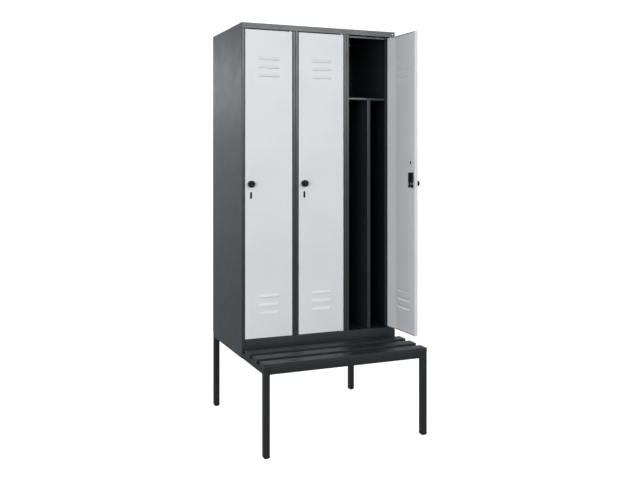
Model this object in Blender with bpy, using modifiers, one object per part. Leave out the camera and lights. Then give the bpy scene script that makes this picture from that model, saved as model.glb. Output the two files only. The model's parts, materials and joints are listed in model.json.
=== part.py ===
"""A three-compartment clothes locker on a bench underframe.

Metres, +Z up. The origin is on the floor, in the middle of the width and of the whole depth.
The front faces -Y. Doors 1 and 2 are shut and door 3 stands open.
"""
import math

import bmesh
import bpy
from mathutils import Matrix, Vector

# Overall sizes
OBJECT_NAME = "clothes_locker"
compartment_count = 3
compartment_pitch = 0.295
cabinet_depth = 0.500
overall_height = 2.090
bench_overhang = 0.312

# Sheet metal
sheet = 0.001
gap = 0.0003
fold_radius = 0.0020
fold_steps = 2
overrun = 0.004
weld_distance = 0.00002
crease_angle = math.radians(40)
facing_share = 0.5

# Underframe of square tube
tube_side = 0.030
tube_wall = 0.002
tube_corner = 0.0025
tube_corner_steps = 2
frame_top = 0.4235
foot_height = 0.014
foot_rounding = 0.0125
foot_steps = 4
plug_insert = 0.020

# Bench slats
slat_count = 3
slat_width = 0.060
slat_thickness = 0.020
slat_pitch = 0.101
slat_end_inset = 0.0005
slat_front_inset = 0.0005
slat_rounding = 0.0015
slat_steps = 3

# Cabinet shell
stile_width = 0.0147
stile_depth = 0.0225
stop_flange_width = 0.0358
stop_flange_front = 0.0220
rear_return = 0.012
seam_gap = 0.00015
flap_rear_inset = 0.033
roof_fascia = 0.0292
roof_lip_front = 0.0256
roof_lip_drop = 0.010
floor_fascia = 0.0597
floor_return = 0.020

# Inside each compartment
hat_space_height = 0.361
shelf_edge = 0.013
shelf_hem = 0.010
inner_front = 0.025
divider_edge = 0.019
divider_hem = 0.012
rail_radius = 0.0075
rail_drop = 0.069
rail_depth = 0.250
rail_segments = 16

# Doors
door_gap = 0.004
door_depth = 0.0185
door_fold_radius = 0.0015
door_fold_steps = 2
fold_angle = math.radians(60)
flat_angle = math.radians(1)
lip_width = 0.052
lip_edge_web = 0.0095
lip_relief = 0.004
open_door_number = 3
open_angle = math.radians(92)

# Louvres, pressed outwards and open along the lower edge
louvre_count = 3
louvre_width = 0.120
louvre_height = 0.020
louvre_press = 0.0042
louvre_slit_drop = 0.0012
louvre_pitch = 0.0430
louvre_end_taper = 0.014
louvre_columns = 3
louvre_rows = 4
louvre_top_inset = 0.1513
louvre_bottom_inset = 0.1186

# Hinge pins
pin_radius = 0.003
pin_inset = 0.008
pin_depth = 0.0065
pin_reach = 0.010
pin_head_radius = 0.005
pin_head_height = 0.0015
collar_radius = 0.006
pin_segments = 12

# Stiffening strip on the hinge side of a door
stiffener_foot = 0.050
stiffener_flange = 0.012
stiffener_lip = 0.004

# Knob and spindle
knob_height = 1.272
knob_inset = 0.0305
knob_radius = 0.0175
knob_reach = 0.0265
knob_rim = 0.012
knob_face_radius = 0.011
knob_arc_steps = 4
knob_segments = 24
spindle_radius = 0.004
spindle_reach = 0.0275
spindle_segments = 12

# Bolt that the knob slides sideways, from the door's edge to behind the stile
bolt_front = 0.0236
bolt_thickness = 0.0026
bolt_height = 0.015
bolt_throw = 0.010
bolt_tip_inset = 0.0005
bolt_heel = 0.0025
bolt_rounding = 0.0005
bolt_slot_steps = 6

# Lock case, with a groove for the bolt
case_width = 0.0385
case_height = 0.079
case_free_inset = 0.0105
case_drop = 0.0225
case_over_bolt = 0.0008
case_rounding = 0.003
case_rounding_steps = 2
case_notch_radius = 0.007
case_notch_segments = 16

# Escutcheon under the knob, with a blind key slot
slot_width = 0.010
slot_height = 0.0345
slot_drop = 0.0573
slot_proud = 0.0012
slot_depth = 0.006
slot_groove_width = 0.0030
slot_groove_height = 0.022
slot_groove_depth = 0.004
slot_arc_steps = 4

# Slotted hole in the door's lip, above the lock case
lip_hole_width = 0.009
lip_hole_height = 0.016
lip_hole_rise = 0.108
lip_hole_inset = 0.037

# Places worked out from the sizes above
cabinet_width = compartment_pitch * compartment_count
overall_depth = cabinet_depth + bench_overhang
left = -cabinet_width / 2
right = cabinet_width / 2
front = bench_overhang - overall_depth / 2
back = front + cabinet_depth
bench_front = front - bench_overhang
cabinet_bottom = frame_top + gap
floor_top = cabinet_bottom + floor_fascia
roof_edge_bottom = overall_height - roof_fascia
shelf_top = overall_height - hat_space_height
door_bottom = floor_top + door_gap
door_top = roof_edge_bottom - door_gap
door_side_inset = stile_width + door_gap
door_width = compartment_pitch - 2 * door_side_inset
back_panel_front = back - 2 * sheet - gap
inner_back = back_panel_front - gap
shelf_back = inner_back - fold_radius - gap
roof_back = back - fold_radius - gap
frame_inset = sheet + gap


def paint(name, colour, roughness, metallic):
    """A Principled material."""
    material = bpy.data.materials.new(name)
    material.use_nodes = True
    shader = material.node_tree.nodes["Principled BSDF"]
    shader.inputs["Base Color"].default_value = (*colour, 1)
    shader.inputs["Roughness"].default_value = roughness
    shader.inputs["Metallic"].default_value = metallic
    return material


def clear_scene():
    for thing in list(bpy.data.objects):
        bpy.data.objects.remove(thing, do_unlink=True)


def new_collection(name):
    collection = bpy.data.collections.new(name)
    bpy.context.scene.collection.children.link(collection)
    return collection


def add_object(name, mesh, material, parent=None, collection=None):
    """Put a mesh in the scene as one named sub-part with its own material."""
    thing = bpy.data.objects.new(name, mesh)
    (collection or PARTS).objects.link(thing)
    if material:
        mesh.materials.clear()
        mesh.materials.append(PAINTS[material])
    thing.parent = parent
    return thing


def mesh_from(bm, name):
    mesh = bpy.data.meshes.new(name)
    bmesh.ops.recalc_face_normals(bm, faces=bm.faces)
    bm.to_mesh(mesh)
    bm.free()
    return mesh


def smooth(thing):
    """Smooth shading between faces that meet at a low angle."""
    thing.data.shade_smooth()
    thing.data.set_sharp_from_angle(angle=crease_angle)


def thicken(thing, thickness):
    """Give an open surface its wall, on the side away from the faces' normals."""
    shell = thing.modifiers.new("Thickness", "SOLIDIFY")
    shell.thickness = thickness
    shell.offset = -1
    shell.use_even_offset = True


def round_edges(thing, width, segments):
    bevel = thing.modifiers.new("Rounding", "BEVEL")
    bevel.width = width
    bevel.segments = segments
    bevel.limit_method = "ANGLE"


def cut(thing, cutter):
    """Cut one object with another by an exact Boolean."""
    boolean = thing.modifiers.new("Cut " + cutter.name, "BOOLEAN")
    boolean.operation = "DIFFERENCE"
    boolean.solver = "EXACT"
    boolean.object = cutter


def weld_after_cuts(thing):
    """Join the points that a cut leaves almost on top of each other."""
    weld = thing.modifiers.new("Weld", "WELD")
    weld.merge_threshold = weld_distance


def block_mesh(name, low, high):
    bm = bmesh.new()
    size = [high[i] - low[i] for i in range(len(low))]
    middle = [(high[i] + low[i]) / 2 for i in range(len(low))]
    bmesh.ops.create_cube(bm, size=1)
    bmesh.ops.scale(bm, verts=bm.verts, vec=size)
    bmesh.ops.translate(bm, verts=bm.verts, vec=middle)
    return mesh_from(bm, name)


def as_cutter(thing):
    thing.hide_render = True
    thing.display_type = "WIRE"
    return thing


def rod_mesh(name, radius, start, end, segments):
    """A round bar between two points."""
    bm = bmesh.new()
    line = Vector(end) - Vector(start)
    turn = line.to_track_quat("Z", "Y").to_matrix().to_4x4()
    place = Matrix.Translation((Vector(start) + Vector(end)) / 2) @ turn
    bmesh.ops.create_cone(bm, cap_ends=True, segments=segments, radius1=radius, radius2=radius,
                          depth=line.length, matrix=place)
    return mesh_from(bm, name)


def rod_cutter(name, radius, start, end, segments, parent=None):
    mesh = rod_mesh(name, radius, start, end, segments)
    return as_cutter(add_object(name, mesh, None, parent, CUTTERS))


def fold_line(corners, radius):
    """The corners of a folded sheet's line, each inner one turned into a short arc."""
    points = [Vector(corners[0])]
    for before, here, after in zip(corners, corners[1:], corners[2:]):
        here = Vector(here)
        to_before = (Vector(before) - here).normalized()
        to_after = (Vector(after) - here).normalized()
        centre = here + (to_before + to_after) * radius
        first = here + to_before * radius - centre
        last = here + to_after * radius - centre
        for step in range(fold_steps + 1):
            angle = math.pi / 2 * step / fold_steps
            points.append(centre + first * math.cos(angle) + last * math.sin(angle))
    points.append(Vector(corners[-1]))
    return points


def pull(bm, edges, move):
    """Extrude open edges and move the new ones."""
    made = bmesh.ops.extrude_edge_only(bm, edges=edges)["geom"]
    verts = {item for item in made if isinstance(item, bmesh.types.BMVert)}
    bmesh.ops.translate(bm, verts=list(verts), vec=move)
    return [edge for edge in bm.edges if all(vert in verts for vert in edge.verts)]


def line_in(bm, points):
    """A chain of edges through points, and its edges in order."""
    verts = [bm.verts.new(point) for point in points]
    return [bm.edges.new(pair) for pair in zip(verts, verts[1:])]


def folded_sheet(name, line, move, material, parent=None):
    """A folded sheet: a line of points moved along its folds, with its metal on the line's left."""
    bm = bmesh.new()
    pull(bm, line_in(bm, line), move)
    bmesh.ops.reverse_faces(bm, faces=bm.faces)
    mesh = bpy.data.meshes.new(name)
    bm.to_mesh(mesh)
    bm.free()
    thing = add_object(name, mesh, material, parent)
    thicken(thing, sheet)
    smooth(thing)
    return thing


def folded_along_x(name, corners, start, end):
    """A cabinet sheet folded along lines that run in X, from the (y, z) places of its corners."""
    line = fold_line([(start, *corner) for corner in corners], fold_radius)
    return folded_sheet(name, line, (end - start, 0, 0), "cabinet")


def wall_corners(wall, side, rear, stop):
    """The (x, y) corners of a wall sheet with its rear return, stile and stop flange."""
    corners = [
        (wall + side * rear_return, rear),
        (wall, rear),
        (wall, front),
        (wall + side * stile_width, front),
    ]
    if stop:
        corners.append((wall + side * stile_width, front + stop_flange_front))
        corners.append((wall + side * (stile_width + stop_flange_width), front + stop_flange_front))
    else:
        corners.append((wall + side * stile_width, front + stile_depth))
    return corners


def wall_sheet(name, wall, side, rear, stop, levels):
    """An upright wall sheet folded into a stile at the front.

    side is 1 where the compartment lies at +X of the wall and -1 at -X. levels holds the stile's
    two ends and a list of further stretches, each as (from z, to z, a test of an edge's middle).
    """
    bm = bmesh.new()
    corners = [(x, y, 0) for x, y in wall_corners(wall, side, rear, stop)]
    line = fold_line(corners, fold_radius)
    notches = sorted(levels["notch_places"], reverse=True)
    points = []
    for here, after in zip(line, line[1:]):
        points.append(here)
        for place in notches:
            on_wall = max(abs(here.x - wall), abs(after.x - wall)) < gap
            if on_wall and here.y > place > after.y:
                points.append(Vector((wall, place, 0)))
    points.append(line[-1])
    low, high = levels["all"]
    edges = line_in(bm, [point + Vector((0, 0, low)) for point in points])
    pull(bm, edges, (0, 0, high - low))
    for start, end, keep in levels["more"]:
        bm.edges.ensure_lookup_table()
        chosen = []
        for edge in bm.edges:
            middle = (edge.verts[0].co + edge.verts[1].co) / 2
            level = all(abs(vert.co.z - start) < gap / 2 for vert in edge.verts)
            if level and keep(middle):
                chosen.append(edge)
        pull(bm, chosen, (0, 0, end - start))
    bmesh.ops.recalc_face_normals(bm, faces=bm.faces)
    outward = sum(face.normal.x * face.calc_area() for face in bm.faces
                  if abs(face.calc_center_median().x - wall) < gap)
    if outward * side > 0:
        bmesh.ops.reverse_faces(bm, faces=bm.faces)
    mesh = bpy.data.meshes.new(name)
    bm.to_mesh(mesh)
    bm.free()
    panel = add_object(name, mesh, "cabinet")
    thicken(panel, sheet)
    smooth(panel)
    return panel


def side_panel(name, wall, side, stop):
    """An outer wall: full height at the top, and a flap over the side rail at the bottom."""
    flap_back = back - flap_rear_inset
    stile_bottom = floor_top + gap
    stile_top = roof_edge_bottom - gap

    def on_wall(middle):
        beside = abs(middle.x - wall) < stile_width / 2 and middle.y > front + fold_radius
        return beside or middle.y > back - fold_radius

    def in_flap(middle):
        return on_wall(middle) and middle.y < flap_back

    levels = {
        "notch_places": [flap_back],
        "all": (stile_bottom, stile_top),
        "more": [
            (stile_top, overall_height, on_wall),
            (stile_bottom, cabinet_bottom, on_wall),
            (cabinet_bottom, frame_top - tube_side, in_flap),
        ],
    }
    return wall_sheet(name, wall, side, back, stop, levels)


def partition_sheet(name, wall, side, stop):
    """One of the two inner walls that stand back to back between compartments."""
    lip_clear = front + roof_lip_front + sheet + gap
    lip_bottom = roof_edge_bottom - roof_lip_drop - gap
    stile_top = roof_edge_bottom - gap

    def in_stile(middle):
        inward = abs(middle.x - wall) > stile_width / 2 and middle.y < lip_clear
        return inward or middle.y < front + fold_radius

    def behind_lip(middle):
        return middle.y > lip_clear

    levels = {
        "notch_places": [lip_clear],
        "all": (floor_top + gap, lip_bottom),
        "more": [
            (lip_bottom, stile_top, in_stile),
            (lip_bottom, overall_height - sheet - gap, behind_lip),
        ],
    }
    return wall_sheet(name, wall, side, inner_back, stop, levels)


def cabinet_shell():
    side_panel("side_panel_left", left, 1, False)
    side_panel("side_panel_right", right, -1, True)
    for number in range(1, compartment_count):
        seam = left + number * compartment_pitch
        partition_sheet(f"partition_{number}_left_sheet", seam - seam_gap, -1, True)
        partition_sheet(f"partition_{number}_right_sheet", seam + seam_gap, 1, False)

    inner_left = left + sheet + gap
    inner_right = right - sheet - gap
    panel_top = overall_height - sheet - gap
    panel_inset = fold_radius + gap
    panel_low = (left + panel_inset, back_panel_front, cabinet_bottom)
    panel_high = (right - panel_inset, back_panel_front + sheet, panel_top)
    add_object("back_panel", block_mesh("back_panel", panel_low, panel_high), "cabinet")

    lip_bottom = roof_edge_bottom - roof_lip_drop
    lip_back = front + roof_lip_front + sheet
    roof = folded_along_x("roof", [
        (roof_back, overall_height),
        (front, overall_height),
        (front, roof_edge_bottom),
        (lip_back - sheet, roof_edge_bottom),
        (lip_back - sheet, lip_bottom),
    ], inner_left, inner_right)

    floor = folded_along_x("floor_tray", [
        (inner_back - floor_return, cabinet_bottom),
        (inner_back, cabinet_bottom),
        (inner_back, floor_top),
        (front, floor_top),
        (front, cabinet_bottom),
        (front + floor_return, cabinet_bottom),
    ], inner_left, inner_right)
    return roof, floor


def compartment_inside(number):
    """Hat shelf, divider and clothes rail of one compartment."""
    wall_left = left + (number - 1) * compartment_pitch
    wall_right = wall_left + compartment_pitch
    if number > 1:
        wall_left += seam_gap
    if number < compartment_count:
        wall_right -= seam_gap
    inner_left = wall_left + sheet + gap
    inner_right = wall_right - sheet - gap
    shelf_front = front + inner_front
    folded_along_x(f"hat_shelf_{number}", [
        (shelf_back, shelf_top - shelf_edge),
        (shelf_back, shelf_top),
        (shelf_front, shelf_top),
        (shelf_front, shelf_top - shelf_edge),
        (shelf_front + shelf_hem, shelf_top - shelf_edge),
    ], inner_left, inner_right)

    middle = left + number * compartment_pitch - compartment_pitch / 2
    bottom = floor_top + gap
    top = shelf_top - shelf_edge - gap
    plate = middle - divider_edge / 2
    line = fold_line([
        (plate, shelf_back, bottom),
        (plate, shelf_front, bottom),
        (plate + divider_edge, shelf_front, bottom),
        (plate + divider_edge, shelf_front + divider_hem, bottom),
    ], fold_radius)
    divider = folded_sheet(f"divider_{number}", line, (0, 0, top - bottom), "cabinet")

    rail_y = front + rail_depth
    rail_z = shelf_top - rail_drop
    hole = rod_cutter(f"rail_hole_{number}", rail_radius + gap, (plate - overrun, rail_y, rail_z),
                      (plate + overrun, rail_y, rail_z), rail_segments)
    cut(divider, hole)
    rail = add_object(f"clothes_rail_{number}", rod_mesh(
        "clothes_rail", rail_radius, (inner_left, rail_y, rail_z), (inner_right, rail_y, rail_z),
        rail_segments), "steel")
    smooth(rail)


def tube(name, low, high, axis):
    """A square tube between two corners, open at both ends of an axis."""
    bm = bmesh.new()
    size = [high[i] - low[i] for i in range(len(low))]
    middle = [(high[i] + low[i]) / 2 for i in range(len(low))]
    bmesh.ops.create_cube(bm, size=1)
    bmesh.ops.scale(bm, verts=bm.verts, vec=size)
    ends = [face for face in bm.faces if abs(face.normal[axis]) > facing_share]
    bmesh.ops.delete(bm, geom=ends, context="FACES_ONLY")
    along = [edge for edge in bm.edges if not edge.is_boundary]
    bmesh.ops.bevel(bm, geom=along, offset=tube_corner, segments=tube_corner_steps, profile=0.5,
                    affect="EDGES")
    bmesh.ops.translate(bm, verts=bm.verts, vec=middle)
    part = add_object(name, mesh_from(bm, name), "frame")
    thicken(part, tube_wall)
    smooth(part)


def foot_plug(name, x, y):
    """A rounded foot with a square stub that fills the tube's end."""
    half = tube_side / 2
    bm = bmesh.new()
    bmesh.ops.create_cube(bm, size=1)
    bmesh.ops.scale(bm, verts=bm.verts, vec=(tube_side, tube_side, foot_height))
    bmesh.ops.translate(bm, verts=bm.verts, vec=(x, y, foot_height / 2))
    top = [face for face in bm.faces if face.normal.z > facing_share]
    bmesh.ops.inset_region(bm, faces=top, thickness=tube_wall + 2 * gap, use_even_offset=True)
    stub = bmesh.ops.extrude_face_region(bm, geom=top)["geom"]
    bmesh.ops.delete(bm, geom=top, context="FACES_ONLY")
    raised = [item for item in stub if isinstance(item, bmesh.types.BMVert)]
    bmesh.ops.translate(bm, verts=raised, vec=(0, 0, plug_insert))
    rounded = []
    for edge in bm.edges:
        middle = (edge.verts[0].co + edge.verts[1].co) / 2
        outer = max(abs(middle.x - x), abs(middle.y - y)) > half - gap
        if outer and middle.z < gap:
            rounded.append(edge)
    bmesh.ops.bevel(bm, geom=rounded, offset=foot_rounding, segments=foot_steps, profile=0.5,
                    affect="EDGES")
    plug = add_object(name, mesh_from(bm, name), "plastic")
    smooth(plug)


def underframe():
    x_left = left + frame_inset
    x_right = right - frame_inset - tube_side
    y_front = bench_front
    y_rear = back - tube_side
    rail_bottom = frame_top - tube_side
    for side, x in (("left", x_left), ("right", x_right)):
        for end, y in (("front", y_front), ("rear", y_rear)):
            tube(f"leg_{end}_{side}", (x, y, foot_height + gap),
                 (x + tube_side, y + tube_side, frame_top), 2)
            foot_plug(f"foot_{end}_{side}", x + tube_side / 2, y + tube_side / 2)
        tube(f"side_rail_{side}", (x, y_front + tube_side + gap, rail_bottom),
             (x + tube_side, y_rear - gap, frame_top), 1)
    cross_left = x_left + tube_side + gap
    cross_right = x_right - gap
    for name, y in (("front", y_front), ("middle", front + sheet + gap), ("rear", y_rear)):
        tube(f"{name}_rail", (cross_left, y, rail_bottom), (cross_right, y + tube_side, frame_top), 0)


def bench_slats():
    for number in range(slat_count):
        y = bench_front + slat_front_inset + number * slat_pitch
        low = (left + slat_end_inset, y, frame_top + gap)
        high = (right - slat_end_inset, y + slat_width, frame_top + gap + slat_thickness)
        slat = add_object(f"bench_slat_{number + 1}", block_mesh("slat", low, high), "slat")
        round_edges(slat, slat_rounding, slat_steps)
        smooth(slat)


def louvre_bottoms():
    """The heights of the louvres' slits above the floor, lowest first."""
    upper = door_top - louvre_top_inset - (louvre_count - 1) * louvre_pitch
    lower = door_bottom + louvre_bottom_inset
    groups = (lower, upper)
    return [base + number * louvre_pitch for base in groups for number in range(louvre_count)]


def press_amount(x, z, centre, slit):
    """How far a louvre's skin stands out of the door at a point."""
    side_share = min(1, (louvre_width / 2 - abs(x - centre)) / louvre_end_taper)
    rise_share = (z - slit) / louvre_height
    if side_share <= 0 or rise_share < 0 or rise_share >= 1:
        return 0
    swell = (1 - math.cos(math.pi * side_share)) / 2
    return louvre_press * swell * (1 + math.cos(math.pi * rise_share)) / 2


def door_pan_mesh(hinge_x, free_x, face_y):
    """The door's folded sheet as an open surface, with louvres, returns and the lock-side lip."""
    centre = (hinge_x + free_x) / 2
    first = centre - louvre_width / 2
    last = centre + louvre_width / 2
    taper = louvre_end_taper / louvre_columns
    columns = [free_x]
    columns += [first + step * taper for step in range(louvre_columns + 1)]
    columns += [last - (louvre_columns - step) * taper for step in range(louvre_columns + 1)]
    columns.append(hinge_x)
    case_bottom = knob_height - case_drop
    case_top = case_bottom + case_height
    slits = louvre_bottoms()
    rows = [door_bottom, door_bottom + lip_relief, case_bottom - gap, case_top + gap,
            door_top - lip_relief, door_top]
    for slit in slits:
        rows += [slit + louvre_height * step / louvre_rows for step in range(louvre_rows + 1)]
    rows.sort()

    bm = bmesh.new()
    bmesh.ops.create_grid(bm, x_segments=len(columns) - 1, y_segments=len(rows) - 1, size=1)
    across = len(columns) - 1
    up = len(rows) - 1
    for vert in bm.verts:
        column = round((vert.co.x + 1) / 2 * across)
        row = round((vert.co.y + 1) / 2 * up)
        vert.co = (columns[column], face_y, rows[row])
    return bm, centre, first, last, slits


def open_louvres(bm, centre, first, last, slits, face_y):
    """Slit the face below each louvre, and press the skin above the slit outwards."""
    for slit in slits:
        split = []
        for edge in bm.edges:
            a, b = (vert.co for vert in edge.verts)
            level = abs(a.z - slit) < gap / 2 and abs(b.z - slit) < gap / 2
            inside = min(a.x, b.x) > first - gap / 2 and max(a.x, b.x) < last + gap / 2
            if level and inside:
                split.append(edge)
        bmesh.ops.split_edges(bm, edges=split)
    for vert in bm.verts:
        for slit in slits:
            within = first + gap < vert.co.x < last - gap
            if within and abs(vert.co.z - slit) < gap / 2:
                hangs = all(face.calc_center_median().z < slit for face in vert.link_faces)
                if hangs:
                    vert.co.z -= louvre_slit_drop
                    break
            amount = press_amount(vert.co.x, vert.co.z, centre, slit)
            if amount:
                vert.co.y -= amount
                break


def spare_edges(bm, first, last, slits, kept_levels):
    """The flat edges of the grid that neither a louvre nor the lock case's opening needs."""
    groups = (slits[:louvre_count], slits[louvre_count:])
    spans = [(group[0], group[-1] + louvre_height) for group in groups]
    levels = kept_levels + [level for span in spans for level in span]
    spare = []
    for edge in bm.edges:
        if len(edge.link_faces) != 2 or edge.calc_face_angle() > flat_angle:
            continue
        a, b = (vert.co for vert in edge.verts)
        middle = (a + b) / 2
        beside_louvre = any(low - gap < middle.z < high + gap for low, high in spans)
        in_louvres = beside_louvre and first - gap < middle.x < last + gap
        kept = abs(a.z - b.z) < gap / 2 and any(abs(a.z - level) < gap / 2 for level in levels)
        if not in_louvres and not kept:
            spare.append(edge)
    return spare


def door_pan(name, parent, hinge_x, free_x, face_y):
    bm, centre, first, last, slits = door_pan_mesh(hinge_x, free_x, face_y)
    open_louvres(bm, centre, first, last, slits, face_y)

    def rim(edge):
        a, b = (vert.co for vert in edge.verts)
        on_x = abs(a.x - b.x) < gap / 2 and min(abs(a.x - hinge_x), abs(a.x - free_x)) < gap / 2
        on_z = abs(a.z - b.z) < gap / 2 and min(abs(a.z - door_bottom), abs(a.z - door_top)) < gap / 2
        return edge.is_boundary and (on_x or on_z)

    returns = pull(bm, [edge for edge in bm.edges if rim(edge)], (0, door_depth, 0))
    case_bottom = knob_height - case_drop
    case_top = case_bottom + case_height
    lip_edges = []
    for edge in returns:
        a, b = (vert.co for vert in edge.verts)
        upright = abs(a.x - free_x) < gap / 2 and abs(b.x - free_x) < gap / 2
        low, high = sorted((a.z, b.z))
        if upright and low > door_bottom + gap and high < door_top - gap:
            lip_edges.append(edge)
    web = pull(bm, lip_edges, (lip_edge_web, 0, 0))
    beside = []
    for edge in web:
        low, high = sorted(vert.co.z for vert in edge.verts)
        upright = abs(edge.verts[0].co.x - edge.verts[1].co.x) < gap / 2
        if upright and (high < case_bottom or low > case_top):
            beside.append(edge)
    pull(bm, beside, (lip_width - lip_edge_web, 0, 0))
    levels = [door_bottom + lip_relief, case_bottom - gap, case_top + gap, door_top - lip_relief]
    bmesh.ops.dissolve_edges(bm, edges=spare_edges(bm, first, last, slits, levels), use_verts=False)
    bmesh.ops.dissolve_limit(bm, angle_limit=flat_angle, verts=bm.verts, edges=[])

    folds = [edge for edge in bm.edges
             if len(edge.link_faces) == 2 and edge.calc_face_angle() > fold_angle]
    bmesh.ops.bevel(bm, geom=folds, offset=door_fold_radius, segments=door_fold_steps,
                    profile=0.5, affect="EDGES", clamp_overlap=True)
    bmesh.ops.recalc_face_normals(bm, faces=bm.faces)
    if sum(face.normal.y * face.calc_area() for face in bm.faces
           if abs(face.calc_center_median().y - face_y) < gap) > 0:
        bmesh.ops.reverse_faces(bm, faces=bm.faces)
    mesh = bpy.data.meshes.new(name)
    bm.to_mesh(mesh)
    bm.free()
    pan = add_object(name, mesh, "door", parent)
    thicken(pan, sheet)
    smooth(pan)
    return pan


def rounded_slot(width, height, steps):
    """The (x, z) outline of an upright or lying slot with round ends, about its middle."""
    radius = min(width, height) / 2
    turn = -math.pi / 2 if width > height else 0
    points = []
    for side in (1, -1):
        for step in range(steps + 1):
            angle = turn + math.pi * step / steps
            points.append((side * (width / 2 - radius) + radius * math.cos(angle),
                           side * (height / 2 - radius) + radius * math.sin(angle)))
        turn += math.pi
    return points


def slot_mesh(name, width, height, steps, x, z, y_front, y_back):
    """A slot shape between two depths."""
    bm = bmesh.new()
    ring = [bm.verts.new((x + px, y_front, z + pz)) for px, pz in rounded_slot(width, height, steps)]
    face = bm.faces.new(ring)
    made = bmesh.ops.extrude_face_region(bm, geom=[face])["geom"]
    verts = [item for item in made if isinstance(item, bmesh.types.BMVert)]
    bmesh.ops.translate(bm, verts=verts, vec=(0, y_back - y_front, 0))
    return mesh_from(bm, name)


def slot_cutter(name, width, height, x, z, y_front, y_back, parent):
    mesh = slot_mesh(name, width, height, slot_arc_steps, x, z, y_front, y_back)
    return as_cutter(add_object(name, mesh, None, parent, CUTTERS))


def knob_profile():
    """The (radius, height) points of the knob and its spindle, from the tip down the outer side."""
    dome_rise = knob_reach - knob_rim
    points = [(0, knob_reach)]
    for step in range(1, knob_arc_steps + 1):
        angle = math.pi / 2 * step / knob_arc_steps
        radius = knob_face_radius + (knob_radius - knob_face_radius) * math.sin(angle)
        points.append((radius, knob_rim + dome_rise * math.cos(angle)))
    points.insert(1, (knob_face_radius, knob_reach))
    points.append((knob_radius, gap))
    points.append((spindle_radius, gap))
    points.append((spindle_radius, -spindle_reach))
    points.append((0, -spindle_reach))
    return points


def turned(name, profile, material, segments, parent):
    """A profile of (radius, height) turned about the local Z axis."""
    bm = bmesh.new()
    line_in(bm, [(radius, 0, height) for radius, height in profile])
    mesh = bpy.data.meshes.new(name)
    bm.to_mesh(mesh)
    bm.free()
    thing = add_object(name, mesh, material, parent)
    screw = thing.modifiers.new("Turn", "SCREW")
    screw.axis = "Z"
    screw.steps = segments
    screw.render_steps = segments
    screw.use_merge_vertices = True
    screw.merge_threshold = weld_distance
    screw.use_smooth_shade = True
    return thing


def hinge_pins(number, x, y):
    """The two pins that a door swings on, each held between the shell's fold and the door's."""
    rail_top = roof_edge_bottom + sheet + gap
    collar_top = roof_edge_bottom - gap
    collar_bottom = door_top + gap
    top_profile = [
        (0, rail_top + pin_head_height),
        (pin_head_radius, rail_top + pin_head_height),
        (pin_head_radius, rail_top),
        (pin_radius, rail_top),
        (pin_radius, collar_top),
        (collar_radius, collar_top),
        (collar_radius, collar_bottom),
        (pin_radius, collar_bottom),
        (pin_radius, door_top - pin_reach),
        (0, door_top - pin_reach),
    ]
    tray_bottom = floor_top - sheet - gap
    low_collar_top = door_bottom - gap
    low_collar_bottom = floor_top + gap
    bottom_profile = [
        (0, door_bottom + pin_reach),
        (pin_radius, door_bottom + pin_reach),
        (pin_radius, low_collar_top),
        (collar_radius, low_collar_top),
        (collar_radius, low_collar_bottom),
        (pin_radius, low_collar_bottom),
        (pin_radius, tray_bottom),
        (pin_head_radius, tray_bottom),
        (pin_head_radius, tray_bottom - pin_head_height),
        (0, tray_bottom - pin_head_height),
    ]
    for end, profile in (("top", top_profile), ("bottom", bottom_profile)):
        pin = turned(f"door_{number}_{end}_pin", profile, "steel", pin_segments, None)
        pin.location = (x, y, 0)


def door(number, roof, floor):
    """One door with what it carries, about an empty on its hinge axis."""
    seam = left + number * compartment_pitch
    x = seam - door_side_inset - pin_inset
    y = front + pin_depth
    hinge = bpy.data.objects.new(f"door_{number}_hinge", None)
    PARTS.objects.link(hinge)
    hinge.location = (x, y, 0)
    if number == open_door_number:
        hinge.rotation_euler.z = open_angle

    hinge_x = pin_inset
    free_x = pin_inset - door_width
    face_y = -pin_depth
    inner_y = face_y + door_depth
    slot_z = knob_height - slot_drop
    pan = door_pan(f"door_{number}_pan", hinge, hinge_x, free_x, face_y)

    hole_radius = pin_radius + gap
    for end, z in (("low", door_bottom), ("high", door_top)):
        hole = rod_cutter(f"door_{number}_pin_hole_{end}", hole_radius, (0, 0, z - overrun),
                          (0, 0, z + overrun), pin_segments, hinge)
        cut(pan, hole)
    for shell, z in ((roof, roof_edge_bottom), (floor, floor_top)):
        hole = rod_cutter(f"{shell.name}_pin_hole_{number}", hole_radius, (x, y, z - overrun),
                          (x, y, z + overrun), pin_segments)
        cut(shell, hole)
    hinge_pins(number, x, y)

    knob_x = free_x + knob_inset
    spindle_hole = rod_cutter(f"door_{number}_spindle_hole", spindle_radius + gap,
                              (knob_x, face_y - overrun, knob_height),
                              (knob_x, face_y + bolt_front + overrun, knob_height),
                              spindle_segments, hinge)
    cut(pan, spindle_hole)
    slot_hole = slot_cutter(f"door_{number}_slot_hole", slot_width - 2 * sheet,
                            slot_height - 2 * sheet, knob_x, slot_z, face_y - overrun,
                            face_y + overrun, hinge)
    cut(pan, slot_hole)
    lip_hole = slot_cutter(f"door_{number}_lip_hole", lip_hole_width, lip_hole_height,
                           free_x + lip_hole_inset, knob_height + lip_hole_rise,
                           inner_y - overrun, inner_y + overrun, hinge)
    cut(pan, lip_hole)
    weld_after_cuts(pan)

    stiffener(number, hinge, hinge_x, face_y, inner_y)
    lock_case(number, hinge, free_x, face_y, spindle_hole)
    escutcheon(number, hinge, knob_x, slot_z, face_y)
    knob_and_bolt(number, hinge, free_x, knob_x, face_y)


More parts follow.
